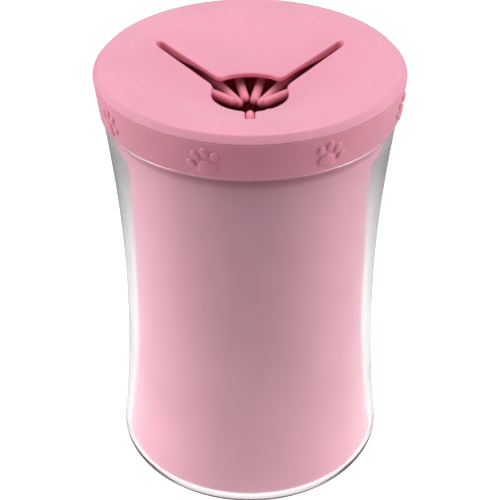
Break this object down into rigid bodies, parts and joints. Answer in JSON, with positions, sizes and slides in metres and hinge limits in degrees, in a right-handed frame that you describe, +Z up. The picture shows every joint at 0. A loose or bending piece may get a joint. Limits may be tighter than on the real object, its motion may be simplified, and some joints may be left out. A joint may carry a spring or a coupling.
{
  "type": "paw washer cup",
  "caption": "Clear hourglass cup with a soft bristle liner inside and a funnel lid whose slit flaps open for an animal's paw.",
  "frame": {"origin": "centre of the cup's flat base, on the surface it stands on", "axes": "+Z up along the cup's axis; -Y is the front, where one of the lid's three slits points"},
  "size_m": [0.0998, 0.0998, 0.149],
  "materials": {
    "clear_plastic": "clear gloss",
    "liner_silicone": "satin",
    "bristle_silicone": "satin",
    "collar_silicone": "satin",
    "lid_silicone": "satin"
  },
  "bodies": {
    "cup": {"clear_cup": "clear_plastic"},
    "liner": {"brush_liner": "liner_silicone", "liner_skirt": "liner_silicone", "bristle_row2_01": "bristle_silicone", "bristle_row2_02": "bristle_silicone", "bristle_row2_03": "bristle_silicone", "bristle_row2_04": "bristle_silicone", "bristle_row2_05": "bristle_silicone", "bristle_row2_06": "bristle_silicone", "bristle_row2_07": "bristle_silicone", "bristle_row2_08": "bristle_silicone", "bristle_row2_09": "bristle_silicone", "bristle_row2_10": "bristle_silicone", "bristle_row2_11": "bristle_silicone", "bristle_row2_12": "bristle_silicone", "bristle_row2_13": "bristle_silicone", "bristle_row2_14": "bristle_silicone", "bristle_row2_15": "bristle_silicone", "bristle_row3_01": "bristle_silicone", "bristle_row3_02": "bristle_silicone", "bristle_row3_03": "bristle_silicone", "bristle_row3_04": "bristle_silicone", "bristle_row3_05": "bristle_silicone", "bristle_row3_06": "bristle_silicone", "bristle_row3_07": "bristle_silicone", "bristle_row3_08": "bristle_silicone", "bristle_row3_09": "bristle_silicone", "bristle_row3_10": "bristle_silicone", "bristle_row3_11": "bristle_silicone", "bristle_row3_12": "bristle_silicone", "bristle_row3_13": "bristle_silicone", "bristle_row3_14": "bristle_silicone", "bristle_row3_15": "bristle_silicone"},
    "lid": {"lid_collar": "collar_silicone", "lid_top": "lid_silicone"},
    "flap_back": {"flap_back": "lid_silicone"},
    "flap_left": {"flap_left": "lid_silicone"},
    "flap_right": {"flap_right": "lid_silicone"},
    "bristle_01": {"bristle_01": "bristle_silicone"},
    "bristle_02": {"bristle_02": "bristle_silicone"},
    "bristle_03": {"bristle_03": "bristle_silicone"},
    "bristle_04": {"bristle_04": "bristle_silicone"},
    "bristle_05": {"bristle_05": "bristle_silicone"},
    "bristle_06": {"bristle_06": "bristle_silicone"},
    "bristle_07": {"bristle_07": "bristle_silicone"},
    "bristle_08": {"bristle_08": "bristle_silicone"},
    "bristle_09": {"bristle_09": "bristle_silicone"},
    "bristle_10": {"bristle_10": "bristle_silicone"},
    "bristle_11": {"bristle_11": "bristle_silicone"},
    "bristle_12": {"bristle_12": "bristle_silicone"},
    "bristle_13": {"bristle_13": "bristle_silicone"},
    "bristle_14": {"bristle_14": "bristle_silicone"},
    "bristle_15": {"bristle_15": "bristle_silicone"}
  },
  "joints": [
    {"name": "liner_lift", "type": "slide", "parent": "cup", "child": "liner", "axis": [0, 0, 1], "range_m": [0, 0.16], "deforming": ["liner_skirt"]},
    {"name": "lid_lift", "type": "slide", "parent": "liner", "child": "lid", "axis": [0, 0, 1], "range_m": [0, 0.05]},
    {"name": "back_flap_bend", "type": "hinge", "parent": "lid", "child": "flap_back", "pos_m": [0, 0.0172, 0.1381], "axis": [-1, 0, 0], "range_deg": [-35, 12], "stiffness_Nm_per_rad": 0.02},
    {"name": "left_flap_bend", "type": "hinge", "parent": "lid", "child": "flap_left", "pos_m": [-0.0149, -0.0086, 0.1381], "axis": [0.5, -0.866, 0], "range_deg": [-35, 12], "stiffness_Nm_per_rad": 0.02},
    {"name": "right_flap_bend", "type": "hinge", "parent": "lid", "child": "flap_right", "pos_m": [0.0149, -0.0086, 0.1381], "axis": [0.5, 0.866, 0], "range_deg": [-35, 12], "stiffness_Nm_per_rad": 0.02},
    {"name": "bristle_01_bend", "type": "hinge", "parent": "liner", "child": "bristle_01", "pos_m": [0, -0.0358, 0.1365], "axis": [1, 0, 0], "range_deg": [-12, 5], "stiffness_Nm_per_rad": 0.004},
    {"name": "bristle_02_bend", "type": "hinge", "parent": "liner", "child": "bristle_02", "pos_m": [0.01456, -0.0327, 0.1365], "axis": [0.9135, 0.4067, 0], "range_deg": [-12, 5], "stiffness_Nm_per_rad": 0.004},
    {"name": "bristle_03_bend", "type": "hinge", "parent": "liner", "child": "bristle_03", "pos_m": [0.02661, -0.02396, 0.1365], "axis": [0.6691, 0.7431, 0], "range_deg": [-12, 5], "stiffness_Nm_per_rad": 0.004},
    {"name": "bristle_04_bend", "type": "hinge", "parent": "liner", "child": "bristle_04", "pos_m": [0.03405, -0.01106, 0.1365], "axis": [0.309, 0.9511, 0], "range_deg": [-12, 5], "stiffness_Nm_per_rad": 0.004},
    {"name": "bristle_05_bend", "type": "hinge", "parent": "liner", "child": "bristle_05", "pos_m": [0.0356, 0.00374, 0.1365], "axis": [-0.1045, 0.9945, 0], "range_deg": [-12, 5], "stiffness_Nm_per_rad": 0.004},
    {"name": "bristle_06_bend", "type": "hinge", "parent": "liner", "child": "bristle_06", "pos_m": [0.031, 0.0179, 0.1365], "axis": [-0.5, 0.866, 0], "range_deg": [-12, 5], "stiffness_Nm_per_rad": 0.004},
    {"name": "bristle_07_bend", "type": "hinge", "parent": "liner", "child": "bristle_07", "pos_m": [0.02104, 0.02896, 0.1365], "axis": [-0.809, 0.5878, 0], "range_deg": [-12, 5], "stiffness_Nm_per_rad": 0.004},
    {"name": "bristle_08_bend", "type": "hinge", "parent": "liner", "child": "bristle_08", "pos_m": [0.00744, 0.03502, 0.1365], "axis": [-0.9781, 0.2079, 0], "range_deg": [-12, 5], "stiffness_Nm_per_rad": 0.004},
    {"name": "bristle_09_bend", "type": "hinge", "parent": "liner", "child": "bristle_09", "pos_m": [-0.00744, 0.03502, 0.1365], "axis": [-0.9781, -0.2079, 0], "range_deg": [-12, 5], "stiffness_Nm_per_rad": 0.004},
    {"name": "bristle_10_bend", "type": "hinge", "parent": "liner", "child": "bristle_10", "pos_m": [-0.02104, 0.02896, 0.1365], "axis": [-0.809, -0.5878, 0], "range_deg": [-12, 5], "stiffness_Nm_per_rad": 0.004},
    {"name": "bristle_11_bend", "type": "hinge", "parent": "liner", "child": "bristle_11", "pos_m": [-0.031, 0.0179, 0.1365], "axis": [-0.5, -0.866, 0], "range_deg": [-12, 5], "stiffness_Nm_per_rad": 0.004},
    {"name": "bristle_12_bend", "type": "hinge", "parent": "liner", "child": "bristle_12", "pos_m": [-0.0356, 0.00374, 0.1365], "axis": [-0.1045, -0.9945, 0], "range_deg": [-12, 5], "stiffness_Nm_per_rad": 0.004},
    {"name": "bristle_13_bend", "type": "hinge", "parent": "liner", "child": "bristle_13", "pos_m": [-0.03405, -0.01106, 0.1365], "axis": [0.309, -0.9511, 0], "range_deg": [-12, 5], "stiffness_Nm_per_rad": 0.004},
    {"name": "bristle_14_bend", "type": "hinge", "parent": "liner", "child": "bristle_14", "pos_m": [-0.02661, -0.02396, 0.1365], "axis": [0.6691, -0.7431, 0], "range_deg": [-12, 5], "stiffness_Nm_per_rad": 0.004},
    {"name": "bristle_15_bend", "type": "hinge", "parent": "liner", "child": "bristle_15", "pos_m": [-0.01456, -0.0327, 0.1365], "axis": [0.9135, -0.4067, 0], "range_deg": [-12, 5], "stiffness_Nm_per_rad": 0.004}
  ],
  "couplings": [
    {"joint": "bristle_01_bend", "follows": "right_flap_bend", "ratio": 0.34},
    {"joint": "bristle_02_bend", "follows": "right_flap_bend", "ratio": 0.34},
    {"joint": "bristle_03_bend", "follows": "right_flap_bend", "ratio": 0.34},
    {"joint": "bristle_04_bend", "follows": "right_flap_bend", "ratio": 0.34},
    {"joint": "bristle_05_bend", "follows": "right_flap_bend", "ratio": 0.34},
    {"joint": "bristle_06_bend", "follows": "back_flap_bend", "ratio": 0.34},
    {"joint": "bristle_07_bend", "follows": "back_flap_bend", "ratio": 0.34},
    {"joint": "bristle_08_bend", "follows": "back_flap_bend", "ratio": 0.34},
    {"joint": "bristle_09_bend", "follows": "back_flap_bend", "ratio": 0.34},
    {"joint": "bristle_10_bend", "follows": "back_flap_bend", "ratio": 0.34},
    {"joint": "bristle_11_bend", "follows": "back_flap_bend", "ratio": 0.34},
    {"joint": "bristle_12_bend", "follows": "left_flap_bend", "ratio": 0.34},
    {"joint": "bristle_13_bend", "follows": "left_flap_bend", "ratio": 0.34},
    {"joint": "bristle_14_bend", "follows": "left_flap_bend", "ratio": 0.34},
    {"joint": "bristle_15_bend", "follows": "left_flap_bend", "ratio": 0.34}
  ]
}
